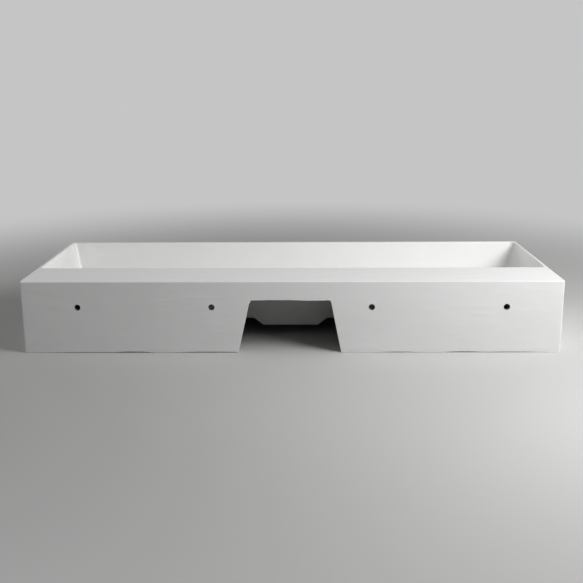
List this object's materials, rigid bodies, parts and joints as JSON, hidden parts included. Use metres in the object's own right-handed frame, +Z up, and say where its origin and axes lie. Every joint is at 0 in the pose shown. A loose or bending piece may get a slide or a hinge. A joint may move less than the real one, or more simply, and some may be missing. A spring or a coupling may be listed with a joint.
{
  "type": "washbasin",
  "caption": "Long rectangular wall-hung trough washbasin in white glazed ceramic, with a rear deck, an overflow duct, a pipe cut-out and a push-open waste.",
  "frame": {"origin": "centre of the box's bottom face, on the plane of the foot", "axes": "+Z up, +Y towards the wall, +X to the right of someone who stands in front of the basin; the front faces -Y"},
  "size_m": [1.2, 0.48, 0.163],
  "materials": {
    "glaze": "white high-gloss glaze, bare matte biscuit under the foot",
    "chrome_trim": "polished",
    "seal_rubber": "matte",
    "white_plastic": "satin",
    "raw_brass": "turned",
    "ivory_plastic": "satin moulded",
    "spring_steel": "drawn wire"
  },
  "bodies": {
    "washbasin": {"basin": "glaze", "overflow_ring": "chrome_trim", "flange_seal": "seal_rubber", "waste_body": "chrome_trim", "tapered_gasket": "seal_rubber", "slip_washer": "white_plastic", "back_nut": "raw_brass", "click_housing": "ivory_plastic", "click_housing_cap": "ivory_plastic", "click_spring": "spring_steel"},
    "plug": {"plug_cap": "chrome_trim", "plug_seal": "seal_rubber", "plug_stem": "raw_brass"},
    "rotor": {"click_rotor": "ivory_plastic"}
  },
  "joints": [
    {"name": "plug_travel", "type": "slide", "parent": "washbasin", "child": "plug", "axis": [0, 0, 1], "range_m": [0, 0.008], "deforming": ["click_spring"]},
    {"name": "rotor_step", "type": "hinge", "parent": "plug", "child": "rotor", "pos_m": [0, -0.06, 0.028], "axis": [0, 0, 1], "range_deg": [0, 45]}
  ],
  "couplings": [
    {"joint": "rotor_step", "follows": "plug_travel", "rad_per_m": 98.17}
  ]
}
